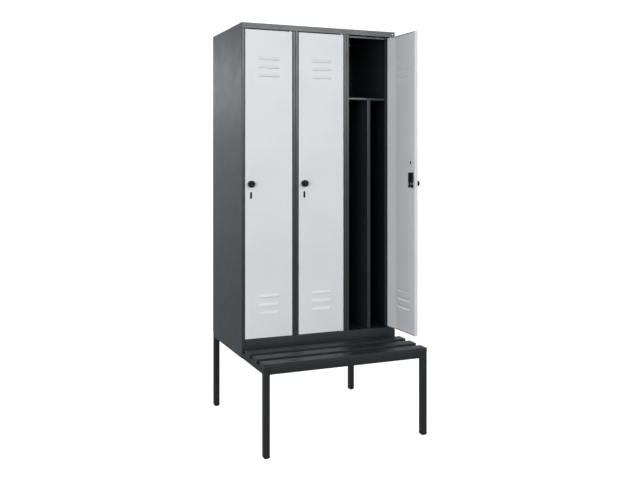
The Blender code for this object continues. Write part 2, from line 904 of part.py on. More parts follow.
def stiffener(number, hinge, hinge_x, face_y, inner_y):
    """A strip that slants from the hinge-side return to the door's face, and stiffens the pan."""
    outer = hinge_x - sheet - gap
    inside = face_y + sheet + gap
    low = door_bottom + sheet + gap
    high = door_top - sheet - gap
    points = [
        (outer, inner_y - stiffener_lip, low),
        (outer, inner_y, low),
        (outer - stiffener_foot, inside + sheet, low),
        (outer - stiffener_foot - stiffener_flange, inside + sheet, low),
    ]
    folded_sheet(f"door_{number}_stiffener", points, (0, 0, high - low), "door", hinge)


def lock_case(number, hinge, free_x, face_y, spindle_hole):
    """The black case inside the door, with an arch in its lower edge and a groove for the bolt."""
    back_y = face_y + bolt_front + bolt_thickness + case_over_bolt
    low = (free_x + case_free_inset, face_y + sheet + gap, knob_height - case_drop)
    high = (low[0] + case_width, back_y, low[2] + case_height)
    case = add_object(f"door_{number}_lock_case", block_mesh("lock_case", low, high), "plastic", hinge)
    round_edges(case, case_rounding, case_rounding_steps)
    arch_x = (low[0] + high[0]) / 2
    arch = rod_cutter(f"door_{number}_case_arch", case_notch_radius, (arch_x, low[1] - overrun, low[2]),
                      (arch_x, high[1] + overrun, low[2]), case_notch_segments, hinge)
    cut(case, arch)
    cut(case, spindle_hole)
    half = bolt_height / 2 + gap
    groove_low = (low[0] - overrun, face_y + bolt_front - gap, knob_height - half)
    groove_high = (high[0] + overrun, back_y + overrun, knob_height + half)
    groove = block_mesh(f"door_{number}_bolt_groove", groove_low, groove_high)
    cut(case, as_cutter(add_object(groove.name, groove, None, hinge, CUTTERS)))
    smooth(case)


def escutcheon(number, hinge, x, z, face_y):
    """The black slot plate: a flange on the door's face, a body through it and a key groove."""
    outline = rounded_slot(slot_width, slot_height, slot_arc_steps)
    bm = bmesh.new()
    ring = [bm.verts.new((x + px, face_y - gap, z + pz)) for px, pz in outline]
    face = bm.faces.new(ring)
    made = bmesh.ops.extrude_face_region(bm, geom=[face])["geom"]
    verts = [item for item in made if isinstance(item, bmesh.types.BMVert)]
    bmesh.ops.translate(bm, verts=verts, vec=(0, -slot_proud, 0))
    backs = [f for f in bm.faces if all(abs(v.co.y - (face_y - gap)) < gap / 2 for v in f.verts)]
    bmesh.ops.inset_region(bm, faces=backs, thickness=sheet + gap, use_even_offset=True)
    made = bmesh.ops.extrude_face_region(bm, geom=backs)["geom"]
    bmesh.ops.delete(bm, geom=backs, context="FACES_ONLY")
    verts = [item for item in made if isinstance(item, bmesh.types.BMVert)]
    bmesh.ops.translate(bm, verts=verts, vec=(0, slot_depth, 0))
    plate = add_object(f"door_{number}_slot_plate", mesh_from(bm, "slot_plate"), "plastic", hinge)
    front_y = face_y - gap - slot_proud
    groove = slot_cutter(f"door_{number}_key_groove", slot_groove_width, slot_groove_height, x, z,
                         front_y - overrun, front_y + slot_groove_depth, hinge)
    cut(plate, groove)
    smooth(plate)


def knob_and_bolt(number, hinge, free_x, knob_x, face_y):
    """The knob on its own axis, and the bolt with a long slot for the knob's spindle."""
    turn = bpy.data.objects.new(f"door_{number}_knob_axis", None)
    PARTS.objects.link(turn)
    turn.parent = hinge
    turn.location = (knob_x, face_y, knob_height)
    knob = turned(f"door_{number}_knob", knob_profile(), "plastic", knob_segments, turn)
    knob.rotation_euler.x = math.pi / 2

    slot_radius = spindle_radius + gap
    slot_length = bolt_throw + 2 * slot_radius
    bolt_y = face_y + bolt_front
    low = (free_x + bolt_tip_inset, bolt_y, knob_height - bolt_height / 2)
    high = (knob_x + bolt_throw + slot_radius + bolt_heel, bolt_y + bolt_thickness,
            knob_height + bolt_height / 2)
    bolt = add_object(f"door_{number}_bolt", block_mesh("bolt", low, high), "steel", hinge)
    round_edges(bolt, bolt_rounding, 1)
    mesh = slot_mesh(f"door_{number}_bolt_slot", slot_length, 2 * slot_radius, bolt_slot_steps,
                     knob_x + bolt_throw / 2, knob_height, bolt_y - overrun,
                     bolt_y + bolt_thickness + overrun)
    cut(bolt, as_cutter(add_object(mesh.name, mesh, None, hinge, CUTTERS)))


clear_scene()
PARTS = new_collection(OBJECT_NAME)
CUTTERS = new_collection("cutters")
PAINTS = {
    "cabinet": paint("cabinet_paint", (0.075, 0.085, 0.095), 0.45, 0.0),
    "frame": paint("frame_paint", (0.035, 0.038, 0.041), 0.5, 0.0),
    "door": paint("door_paint", (0.70, 0.72, 0.74), 0.4, 0.0),
    "slat": paint("slat_finish", (0.05, 0.056, 0.062), 0.5, 0.0),
    "plastic": paint("black_plastic", (0.012, 0.014, 0.016), 0.35, 0.0),
    "steel": paint("bright_steel", (0.60, 0.60, 0.60), 0.3, 1.0),
}
underframe()
bench_slats()
roof_part, floor_part = cabinet_shell()
for compartment in range(1, compartment_count + 1):
    compartment_inside(compartment)
    door(compartment, roof_part, floor_part)
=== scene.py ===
"""Looks of the clothes locker: its finishes, the fine door and lock pieces, welds, screws and light."""
import json
import math

import bmesh
import bpy
from mathutils import Matrix, Vector


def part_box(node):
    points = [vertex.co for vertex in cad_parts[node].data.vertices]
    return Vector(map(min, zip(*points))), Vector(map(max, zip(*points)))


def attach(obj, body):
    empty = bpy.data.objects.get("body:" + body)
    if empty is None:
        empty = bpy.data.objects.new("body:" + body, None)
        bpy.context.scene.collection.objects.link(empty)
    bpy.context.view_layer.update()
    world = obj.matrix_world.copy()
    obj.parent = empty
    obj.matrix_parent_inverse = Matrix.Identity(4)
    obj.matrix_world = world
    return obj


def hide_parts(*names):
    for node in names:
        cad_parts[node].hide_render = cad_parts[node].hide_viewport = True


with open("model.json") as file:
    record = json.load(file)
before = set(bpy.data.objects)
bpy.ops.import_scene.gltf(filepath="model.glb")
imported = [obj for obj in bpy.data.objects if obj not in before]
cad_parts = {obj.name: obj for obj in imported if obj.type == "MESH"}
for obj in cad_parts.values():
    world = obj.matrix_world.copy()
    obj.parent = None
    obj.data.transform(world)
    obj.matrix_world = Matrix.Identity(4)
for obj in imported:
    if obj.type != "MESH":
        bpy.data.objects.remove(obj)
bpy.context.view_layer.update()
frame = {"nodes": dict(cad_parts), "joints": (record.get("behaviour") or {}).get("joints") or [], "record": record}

NODES = frame["nodes"]
JOINTS = {joint["name"]: joint for joint in frame["joints"]}
UP = Vector((0, 0, 1))
QUARTER_TURN = math.pi / 2
HALF_TURN = math.pi
FULL_TURN = 2 * math.pi
door_numbers = (1, 2, 3)
slat_numbers = (1, 2, 3)
partition_numbers = (1, 2)

# Camera, solved from the photograph's straight edges
camera_place = (-1.6611, -3.5996, 1.4087)
camera_turn = -0.3566
camera_lens = 41.411
camera_sensor = 36
camera_shift = (0.09678, -0.12955)
camera_reach = 200

# Floor and what the camera sees behind the object
floor_half = 60
floor_tone = 0.9
floor_roughness = 0.9
floor_glow = 0.85
backdrop_strength = 1.2

# Light levels from straight down (0) over the horizon (0.5) to straight up (1), in front of the
# doors and behind the cabinet, and where along Y one turns into the other
front_sky = ((0.0, 0.22), (0.25, 0.14), (0.38, 0.08), (0.425, 0.42), (0.464, 0.80), (0.527, 1.60),
             (0.578, 1.45), (0.62, 0.70), (0.70, 0.40), (1.0, 0.36))
rear_sky = ((0.0, 0.24), (0.40, 0.42), (0.464, 0.66), (0.527, 0.92), (0.543, 2.4), (0.557, 2.4),
            (0.580, 0.60), (0.62, 0.45), (1.0, 0.40))
sky_change = (-0.2, 0.3)
sky_tint = (0.965, 1.0, 1.035)
sky_strength = 0.80

# Soft lights: name, place, the point that it faces, width, height, power
soft_lights = (
    ("left_light", (-3.4, -3.5, 1.5), (0.3, -0.2, 1.3), 2.4, 2.2, 95),
    ("front_light", (1.8, -4.8, 2.7), (-0.1, -0.1, 1.5), 2.2, 1.7, 80),
)

# Noise in the finishes: waves for each metre, octaves and the strength of the finer ones
cloud_noise = (3.1, 5)
speckle_noise = (900, 2)
patch_noise = (46, 6)
gloss_noise = (11, 6, 0.65)
wave_noise = (2.6, 1)
grain_noise = (260, 4, 0.6)
peel_noise = (620, 3)
spot_noise = (120, 5)
streak_noise = (420, 5, 0.6)

# The levels of noise that count, and what they change
broad_span = (0.30, 0.70)
narrow_span = (0.35, 0.65)
patch_span = (0.42, 0.62)
edge_span = (0.78, 0.97)
# Lighter colour on sharp edges: partly wear, partly a painted highlight where the edges catch the light
edge_wear_and_highlight_radius = 0.0011
edge_wear_and_highlight_samples = 4
cloud_share = 0.035
speckle_share = 0.04
spot_share = 0.10
gloss_below = 0.035
gloss_above = 0.045
streak_below = 0.07
streak_above = 0.10
wave_relief = 0.004
fine_relief = 0.0003
streak_relief = 0.0002
grain_strength = 0.25
streak_strength = 0.12

# Sockets of a colour mix node
mix_first = 6
mix_second = 7
mix_result = 2

# Finishing of edges
weld_distance = 0.00001
cut_weld_distance = 0.00005
sheet_edge = 0.00022
panel_edge = 0.00006
fine_edge = 0.0001
knob_edge = 0.0002
case_edge = 0.0003
hex_edge = 0.0004
flat_normal_weight = 80
crease_angle = math.radians(38)
flat_angle = math.radians(0.25)
fold_angle = math.radians(60)
overrun = 0.004
sliver = 0.0001
round_profile = 0.5
hole_segments = 40
slot_steps = 16
dome_steps = 8

# Door skin
sheet = 0.001
door_fold_radius = 0.0015
door_fold_steps = 5
lip_inset = 0.052
lip_edge_web = 0.0095
lip_relief = 0.004
louvre_width = 0.120
louvre_height = 0.020
louvre_press = 0.0042
louvre_slit_drop = 0.0005
louvre_end_taper = 0.014
louvre_columns = 9
louvre_rows = 14
lower_slits = (0.6061, 0.6491, 0.6921)
upper_slits = (1.8195, 1.8625, 1.9055)
louvre_slits = lower_slits + upper_slits
pin_hole_radius = 0.0033
spindle_hole_radius = 0.0043
lip_hole_size = (0.009, 0.016)
lip_hole_place = (-0.2126, 1.380)

# Knob
knob_segments = 72
knob_base_height = 0.0022
knob_neck_inset = 0.0009
knob_neck_height = 0.0032
knob_rim_height = 0.0120
knob_face_radius = 0.0095
knob_dish_radius = 0.0082
knob_dish_depth = 0.0012
knob_arc_steps = 14
knob_gap = 0.0003
spindle_radius = 0.004
spindle_chamfer = 0.0004

# Slot plate and the guide in the lip's hole; the rim's points are (inset, fall from its top)
rim_gap = 0.0003
rim_points = ((0, 0.0004), (0.0002, 0.0001), (0.0005, 0), (0.0012, 0), (0.0015, 0.0004),
              (0.0017, 0.0005))
plate_body_inset = 0.0013
guide_body_clearance = 0.0002
key_slot_size = (0.0030, 0.024)
key_slot_depth = 0.004
guide_flange = 0.0008
guide_proud = 0.0009
guide_depth = 0.0045
guide_bore_size = (0.0044, 0.0096)

# Lock case
case_rounding = 0.003
case_rounding_steps = 6
case_arch_radius = 0.007
case_groove_half = 0.0078
case_panel_depth = 0.0004
case_panel_inset = 0.006
case_panel_top_inset = 0.015
case_rib_size = (0.009, 0.026)
case_rib_drop = 0.0001
case_flange_thickness = 0.003
case_flange_height = 0.0085
case_screw_inset = 0.009
case_screw_drop = 0.0075
bolt_clearance = 0.0003

# Small fasteners
washer_radius = 0.0068
washer_thickness = 0.0007
washer_chamfer = 0.0002
washer_gap = 0.0002
screw_radius = 0.0034
screw_height = 0.0017
screw_dome_share = 0.55
cross_arm_share = 0.55
cross_half_share = 0.11
slat_screw_radius = 0.0055
slat_screw_height = 0.0026
slat_screw_inset = 0.012
hex_radius = 0.0075
hex_height = 0.0048
hex_sides = 6
hex_washer_radius = 0.0098
hex_bolt_places = (0.020, 0.330)
rivet_radius = 0.0032
rivet_height = 0.0010
rivet_rows = 7
rivet_first = 0.55
rivet_last = 2.00
rivet_offset = 0.0068
fascia_rivet_place = (0.427, 2.0754)
fascia_rivet_radius = 0.0040
fascia_rivet_height = 0.0014

# Cups that hold the ends of the clothes rails
cup_radius = 0.014
cup_flange = 0.002
cup_sleeve_radius = 0.0105
cup_sleeve_length = 0.009
cup_chamfer = 0.0005
cup_clearance = 0.0002

# Filled corners at the ends of the lower fascia
corner_seam_size = 0.0026
corner_seam_rounding = 0.0011
corner_seam_steps = 3
corner_seam_inset = 0.00005

# Welds of the underframe
tube_corner = 0.0025
bead_radius = 0.0016
bead_sunk = 0.0006
bead_sides = 10
bead_step = 0.0011
bead_ripple_share = 0.14
bead_ripple_pitch = 0.0036
bead_end_steps = 3
bead_top_gap = 0.004


def near(first, second):
    return abs(first - second) < sliver


def new_mesh(name, bm):
    mesh = bpy.data.meshes.new(name)
    bm.to_mesh(mesh)
    bm.free()
    return mesh


def closed_mesh(name, bm):
    bmesh.ops.recalc_face_normals(bm, faces=bm.faces)
    return new_mesh(name, bm)


def smoothed(mesh, angle=crease_angle):
    mesh.shade_smooth()
    mesh.set_sharp_from_angle(angle=angle)
    return mesh


def work_object(mesh):
    thing = bpy.data.objects.new(mesh.name, mesh)
    bpy.context.scene.collection.objects.link(thing)
    return thing


def carved(mesh, cuts, thickness=0):
    """A mesh, given a wall where asked for, with other meshes cut out of it for good."""
    body = work_object(mesh)
    if thickness:
        shell = body.modifiers.new("Thickness", "SOLIDIFY")
        shell.thickness = thickness
        shell.offset = -1
        shell.use_even_offset = True
    cutters = [work_object(cut) for cut in cuts]
    for cutter in cutters:
        boolean = body.modifiers.new("Cut", "BOOLEAN")
        boolean.operation = "DIFFERENCE"
        boolean.solver = "EXACT"
        boolean.object = cutter
    weld = body.modifiers.new("Weld", "WELD")
    weld.merge_threshold = cut_weld_distance
    bpy.context.view_layer.update()
    graph = bpy.context.evaluated_depsgraph_get()
    result = bpy.data.meshes.new_from_object(body.evaluated_get(graph))
    for thing in [body, *cutters]:
        bpy.data.objects.remove(thing, do_unlink=True)
    return result


def piece(name, mesh, finish, body, replaces=(), place=None):
    """Put a mesh in the scene with its finish, riding on a body."""
    thing = bpy.data.objects.new(name, mesh)
    bpy.context.scene.collection.objects.link(thing)
    thing.matrix_world = place or Matrix.Identity(4)
    mesh.materials.clear()
    mesh.materials.append(FINISHES[finish])
    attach(thing, body)
    if replaces:
        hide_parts(*replaces)
    return thing


def round_edges(thing, width, segments=2):
    """Fine rounded edges with normals that keep the flats flat."""
    bevel = thing.modifiers.new("Edges", "BEVEL")
    bevel.width = width
    bevel.segments = segments
    bevel.limit_method = "ANGLE"
    bevel.angle_limit = crease_angle
    normals = thing.modifiers.new("Normals", "WEIGHTED_NORMAL")
    normals.weight = flat_normal_weight


def block(name, low, high, rounding=0, steps=1):
    """A block between two corners, with round edges where asked for."""
    bm = bmesh.new()
    low, high = Vector(low), Vector(high)
    bmesh.ops.create_cube(bm, size=1)
    bmesh.ops.scale(bm, verts=bm.verts, vec=high - low)
    bmesh.ops.translate(bm, verts=bm.verts, vec=(low + high) / 2)
    if rounding:
        bmesh.ops.bevel(bm, geom=bm.edges[:], offset=rounding, segments=steps,
                        profile=round_profile, affect="EDGES")
    return closed_mesh(name, bm)


def rod(name, radius, start, end, segments=hole_segments):
    bm = bmesh.new()
    line = Vector(end) - Vector(start)
    turn = line.to_track_quat("Z", "Y").to_matrix().to_4x4()
    place = Matrix.Translation((Vector(start) + Vector(end)) / 2) @ turn
    bmesh.ops.create_cone(bm, cap_ends=True, segments=segments, radius1=radius, radius2=radius,
                          depth=line.length, matrix=place)
    return closed_mesh(name, bm)


def slot_outline(width, height):
    """The (x, z) outline of an upright or lying slot with round ends."""
    radius = min(width, height) / 2
    turn = -QUARTER_TURN if width > height else 0
    points = []
    for side in (1, -1):
        for step in range(slot_steps + 1):
            angle = turn + HALF_TURN * step / slot_steps
            points.append((side * (width / 2 - radius) + radius * math.cos(angle),
                           side * (height / 2 - radius) + radius * math.sin(angle)))
        turn += HALF_TURN
    return points


def slot_block(name, width, height, x, z, y_front, y_back):
    bm = bmesh.new()
    ring = [bm.verts.new((x + px, y_front, z + pz)) for px, pz in slot_outline(width, height)]
    face = bm.faces.new(ring)
    made = bmesh.ops.extrude_face_region(bm, geom=[face])["geom"]
    verts = [item for item in made if isinstance(item, bmesh.types.BMVert)]
    bmesh.ops.translate(bm, verts=verts, vec=(0, y_back - y_front, 0))
    return closed_mesh(name, bm)


def turned(name, profile, segments):
    """A profile of (radius, height) turned about Z."""
    bm = bmesh.new()
    verts = [bm.verts.new((radius, 0, height)) for radius, height in profile]
    edges = [bm.edges.new(pair) for pair in zip(verts, verts[1:])]
    bmesh.ops.spin(bm, geom=verts + edges, cent=(0, 0, 0), axis=UP, angle=FULL_TURN, steps=segments)
    bmesh.ops.remove_doubles(bm, verts=bm.verts, dist=weld_distance)
    return smoothed(closed_mesh(name, bm))


def bridge(bm, first, second):
    """Faces between two rings that have as many points."""
    for index, vert in enumerate(first):
        after = (index + 1) % len(first)
        bm.faces.new((vert, first[after], second[after], second[index]))


def dome_points(radius, bottom, top):
    """The (radius, height) points of a dome, from its top to its edge."""
    points = []
    for step in range(dome_steps + 1):
        angle = QUARTER_TURN * step / dome_steps
        points.append((radius * math.sin(angle), bottom + (top - bottom) * math.cos(angle)))
    return points


def pull(bm, edges, move):
    """Extrude open edges and move the new ones."""
    made = bmesh.ops.extrude_edge_only(bm, edges=edges)["geom"]
    verts = {item for item in made if isinstance(item, bmesh.types.BMVert)}
    bmesh.ops.translate(bm, verts=list(verts), vec=move)
    return [edge for edge in bm.edges if all(vert in verts for vert in edge.verts)]


# Finishes

def add_node(tree, kind, settings=None, values=None):
    node = tree.nodes.new(kind)
    for name, value in (settings or {}).items():
        setattr(node, name, value)
    for name, value in (values or {}).items():
        node.inputs[name].default_value = value
    return node


def noise(tree, place, scale, detail, roughness=0.55, stretch=None):
    """Noise in the piece's own metres, drawn out along an axis where stretch says so."""
    source = place.outputs["Object"]
    if stretch:
        mapping = add_node(tree, "ShaderNodeMapping", values={"Scale": stretch})
        tree.links.new(source, mapping.inputs["Vector"])
        source = mapping.outputs["Vector"]
    node = add_node(tree, "ShaderNodeTexNoise",
                    values={"Scale": scale, "Detail": detail, "Roughness": roughness})
    tree.links.new(source, node.inputs["Vector"])
    return node.outputs["Fac"]


def spread(tree, source, low, high, to_low=0, to_high=1):
    """Map a level from one range to another."""
    node = add_node(tree, "ShaderNodeMapRange", values={
        "From Min": low, "From Max": high, "To Min": to_low, "To Max": to_high})
    tree.links.new(source, node.inputs["Value"])
    return node.outputs["Result"]


def multiply(tree, first, second):
    node = add_node(tree, "ShaderNodeMath", {"operation": "MULTIPLY"})
    tree.links.new(first, node.inputs[0])
    tree.links.new(second, node.inputs[1])
    return node.outputs["Value"]


def blend_colours(tree, share, first, second):
    """Mix two colours, each a colour or another node's output, by a share."""
    node = add_node(tree, "ShaderNodeMix", {"data_type": "RGBA"})
    tree.links.new(share, node.inputs["Factor"])
    for socket, value in ((node.inputs[mix_first], first), (node.inputs[mix_second], second)):
        if isinstance(value, tuple):
            socket.default_value = (*value, 1)
        else:
            tree.links.new(value, socket)
    return node.outputs[mix_result]


def edge_share(tree):
    """A share that is 1 on sharp outer edges, from the change of the normal near them."""
    rounded = add_node(tree, "ShaderNodeBevel", {"samples": edge_wear_and_highlight_samples},
                       {"Radius": edge_wear_and_highlight_radius})
    surface = add_node(tree, "ShaderNodeNewGeometry")
    dot = add_node(tree, "ShaderNodeVectorMath", {"operation": "DOT_PRODUCT"})
    tree.links.new(rounded.outputs["Normal"], dot.inputs[0])
    tree.links.new(surface.outputs["Normal"], dot.inputs[1])
    low, high = edge_span
    return spread(tree, dot.outputs["Value"], high, low)


def bumped(tree, height, strength, distance, under=None):
    node = add_node(tree, "ShaderNodeBump", values={"Strength": strength, "Distance": distance})
    tree.links.new(height, node.inputs["Height"])
    if under:
        tree.links.new(under, node.inputs["Normal"])
    return node.outputs["Normal"]


def shades(colour, share):
    """A darker and a lighter shade of a colour."""
    darker = tuple(part * (1 - share) for part in colour)
    lighter = tuple(part * (1 + share) for part in colour)
    return darker, lighter


def coated(name, colour, roughness, specular, wave=0.0, peel=0.10, edge_wear_and_highlight=None, edge_wear_and_highlight_share=0.35,
           grain=None):
    """A powder coat or moulded surface: clouded colour, orange peel, uneven gloss, and sharp edges painted lighter
    in patches, partly as wear and partly as a painted highlight.
    """
    material = bpy.data.materials.new(name)
    material.use_nodes = True
    tree = material.node_tree
    shader = tree.nodes["Principled BSDF"]
    place = add_node(tree, "ShaderNodeTexCoord")
    clouds = spread(tree, noise(tree, place, *cloud_noise), *broad_span)
    tone = blend_colours(tree, clouds, *shades(colour, cloud_share))
    speckle = spread(tree, noise(tree, place, *speckle_noise), *narrow_span)
    grains = blend_colours(tree, speckle, *shades((1, 1, 1), speckle_share))
    toned = add_node(tree, "ShaderNodeMix", {"data_type": "RGBA", "blend_type": "MULTIPLY"},
                     {"Factor": 1})
    tree.links.new(tone, toned.inputs[mix_first])
    tree.links.new(grains, toned.inputs[mix_second])
    tone = toned.outputs[mix_result]
    # Sharp edges painted lighter in patches: partly wear, partly a painted highlight where they catch the light
    if edge_wear_and_highlight:
        patches = spread(tree, noise(tree, place, *patch_noise), *patch_span, 0, edge_wear_and_highlight_share)
        tone = blend_colours(tree, multiply(tree, edge_share(tree), patches), tone, edge_wear_and_highlight)
    tree.links.new(tone, shader.inputs["Base Color"])
    gloss = spread(tree, noise(tree, place, *gloss_noise), *broad_span,
                   roughness - gloss_below, roughness + gloss_above)
    tree.links.new(gloss, shader.inputs["Roughness"])
    shader.inputs["Specular IOR Level"].default_value = specular
    normal = None
    if wave:
        normal = bumped(tree, noise(tree, place, *wave_noise), wave, wave_relief)
    if grain:
        normal = bumped(tree, noise(tree, place, *grain_noise, grain), grain_strength,
                        fine_relief, normal)
    normal = bumped(tree, noise(tree, place, *peel_noise), peel, fine_relief, normal)
    tree.links.new(normal, shader.inputs["Normal"])
    return material


def bare_steel(name, colour, roughness, stretch):
    """Zinc-plated steel with drawn streaks and fine scratches."""
    material = bpy.data.materials.new(name)
    material.use_nodes = True
    tree = material.node_tree
    shader = tree.nodes["Principled BSDF"]
    shader.inputs["Metallic"].default_value = 1
    place = add_node(tree, "ShaderNodeTexCoord")
    spots = spread(tree, noise(tree, place, *spot_noise), *narrow_span)
    tone = blend_colours(tree, spots, *shades(colour, spot_share))
    tree.links.new(tone, shader.inputs["Base Color"])
    streaks = noise(tree, place, *streak_noise, stretch)
    gloss = spread(tree, streaks, *broad_span, roughness - streak_below, roughness + streak_above)
    tree.links.new(gloss, shader.inputs["Roughness"])
    tree.links.new(bumped(tree, streaks, streak_strength, streak_relief), shader.inputs["Normal"])
    return material


# The lighter edge colours below are partly wear and partly painted highlights on the edges
FINISHES = {
    "cabinet_paint": coated("cabinet_powder_coat", (0.0205, 0.0265, 0.0315), roughness=0.30,
                            specular=0.50, wave=0.015, edge_wear_and_highlight=(0.13, 0.135, 0.14)),
    "door_paint": coated("door_powder_coat", (0.700, 0.722, 0.740), roughness=0.42,
                         specular=0.45, wave=0.03, edge_wear_and_highlight=(0.86, 0.87, 0.88)),
    "frame_paint": coated("frame_powder_coat", (0.0165, 0.0180, 0.0190), roughness=0.44,
                          specular=0.34, edge_wear_and_highlight=(0.10, 0.10, 0.105)),
    "slat_finish": coated("slat_coat", (0.0150, 0.0200, 0.0250), roughness=0.43,
                          specular=0.52, edge_wear_and_highlight=(0.09, 0.092, 0.095), grain=(0.05, 1, 1)),
    "foot_plastic": coated("foot_black_plastic", (0.0085, 0.0090, 0.0095), roughness=0.50,
                           specular=0.45, peel=0.20, edge_wear_and_highlight=(0.05, 0.05, 0.05)),
    "lock_plastic": coated("lock_black_plastic", (0.0060, 0.0075, 0.0085), roughness=0.42,
                           specular=0.20, peel=0.16, edge_wear_and_highlight=(0.03, 0.032, 0.034), edge_wear_and_highlight_share=0.15),
    "pin_steel": bare_steel("zinc_plated_steel", (0.62, 0.63, 0.64), roughness=0.28,
                            stretch=(0.1, 1, 1)),
    # Painted shade: the clothes rails and their cups are coloured nearly black, as dark as the shade inside the
    # compartments
    "rail_steel": coated("rail_coat_dark_as_shade", (0.012, 0.013, 0.014), roughness=0.45, specular=0.35),
}


# CAD nodes that keep their shape

def dress_nodes():
    """Give every CAD node its finish, and the sheets and tubes fine rounded edges."""
    for entry in frame["record"]["subparts"]:
        thing = NODES[entry["node"]]
        finish = FINISHES[entry["material_slot"]]
        for slot in thing.material_slots:
            slot.material = finish
        weld = thing.modifiers.new("Weld", "WELD")
        weld.merge_threshold = weld_distance
        round_edges(thing, panel_edge if thing.name.startswith("side_panel") else sheet_edge)


# Doors

def door_place(number):
    """The matrix from a door's own frame, on its hinge axis, to where it rests."""
    joint = JOINTS[f"door_{number}_hinge"]
    x, y, _ = joint["pos_m"]
    turn = -math.radians(joint["range_deg"][0])
    return Matrix.Translation((x, y, 0)) @ Matrix.Rotation(turn, 4, "Z")


def box_in(node, place):
    """The lowest and highest corners of a CAD node in a door's own frame."""
    back = place.inverted()
    points = [back @ vert.co for vert in NODES[node].data.vertices]
    low = Vector([min(point[i] for point in points) for i in range(3)])
    high = Vector([max(point[i] for point in points) for i in range(3)])
    return low, high


def press_amount(x, z, centre, slit):
    """How far a louvre's skin stands out of the door at a point."""
    side_share = min(1, (louvre_width / 2 - abs(x - centre)) / louvre_end_taper)
    rise_share = (z - slit) / louvre_height
    if side_share <= 0 or rise_share < 0 or rise_share >= 1:
        return 0
    swell = (1 - math.cos(math.pi * side_share)) / 2
    return louvre_press * swell * (1 + math.cos(math.pi * rise_share)) / 2


def skin_grid(low, high, face_y, case_low, case_high):
    """The door's face as a grid whose lines follow the louvres and the lock case."""
    centre = (low.x + high.x) / 2
    first = centre - louvre_width / 2
    last = centre + louvre_width / 2
    taper = louvre_end_taper / louvre_columns
    columns = [low.x]
    columns += [first + step * taper for step in range(louvre_columns + 1)]
    columns += [last - (louvre_columns - step) * taper for step in range(louvre_columns + 1)]
    columns.append(high.x)
    rows = [low.z, low.z + lip_relief, case_low, case_high, high.z - lip_relief, high.z]
    for slit in louvre_slits:
        rows += [slit + louvre_height * step / louvre_rows for step in range(louvre_rows + 1)]
    rows.sort()
    bm = bmesh.new()
    bmesh.ops.create_grid(bm, x_segments=len(columns) - 1, y_segments=len(rows) - 1, size=1)
    for vert in bm.verts:
        column = round((vert.co.x + 1) / 2 * (len(columns) - 1))
        row = round((vert.co.y + 1) / 2 * (len(rows) - 1))
        vert.co = (columns[column], face_y, rows[row])
    return bm, centre, first, last


def open_louvres(bm, centre, first, last):
    """Slit the face below each louvre, and press the skin above the slit outwards."""
    for slit in louvre_slits:
        split = []
        for edge in bm.edges:
            a, b = (vert.co for vert in edge.verts)
            level = near(a.z, slit) and near(b.z, slit)
            inside = min(a.x, b.x) > first - sliver and max(a.x, b.x) < last + sliver
            if level and inside:
                split.append(edge)
        bmesh.ops.split_edges(bm, edges=split)
    for vert in bm.verts:
        for slit in louvre_slits:
            within = first + sliver < vert.co.x < last - sliver
            if within and near(vert.co.z, slit):
                if all(face.calc_center_median().z < slit for face in vert.link_faces):
                    vert.co.z -= louvre_slit_drop
                    break
            amount = press_amount(vert.co.x, vert.co.z, centre, slit)
            if amount:
                vert.co.y -= amount
                break


def spare_edges(bm, first, last, kept_levels):
    """The flat edges of the grid that neither a louvre nor the lock case's opening needs."""
    spans = [(slits[0], slits[-1] + louvre_height) for slits in (lower_slits, upper_slits)]
    levels = kept_levels + [level for span in spans for level in span]
    spare = []
    for edge in bm.edges:
        if len(edge.link_faces) != 2 or edge.calc_face_angle() > flat_angle:
            continue
        a, b = (vert.co for vert in edge.verts)
        middle = (a + b) / 2
        beside_louvre = any(low - sliver < middle.z < high + sliver for low, high in spans)
        in_louvres = beside_louvre and first - sliver < middle.x < last + sliver
        kept = near(a.z, b.z) and any(near(a.z, level) for level in levels)
        if not in_louvres and not kept:
            spare.append(edge)
    return spare


def face_rim(bm, low, high):
    """The open edges along the face's outline."""
    rim = []
    for edge in bm.edges:
        a, b = (vert.co for vert in edge.verts)
        on_x = near(a.x, b.x) and (near(a.x, low.x) or near(a.x, high.x))
        on_z = near(a.z, b.z) and (near(a.z, low.z) or near(a.z, high.z))
        if edge.is_boundary and (on_x or on_z):
            rim.append(edge)
    return rim


def fold_back(bm, rim, low, high, depth, case_low, case_high):
    """Pull the returns from the face's outline, and the lip from the return on the lock side."""
    lip_edges = []
    for edge in pull(bm, rim, (0, depth, 0)):
        a, b = (vert.co for vert in edge.verts)
        bottom, top = sorted((a.z, b.z))
        free = near(a.x, low.x) and near(b.x, low.x)
        if free and bottom > low.z + sliver and top < high.z - sliver:
            lip_edges.append(edge)
    beside = []
    for edge in pull(bm, lip_edges, (lip_edge_web, 0, 0)):
        bottom, top = sorted(vert.co.z for vert in edge.verts)
        upright = near(edge.verts[0].co.x, edge.verts[1].co.x)
        if upright and (top < case_low + sliver or bottom > case_high - sliver):
            beside.append(edge)
    pull(bm, beside, (lip_inset - lip_edge_web, 0, 0))


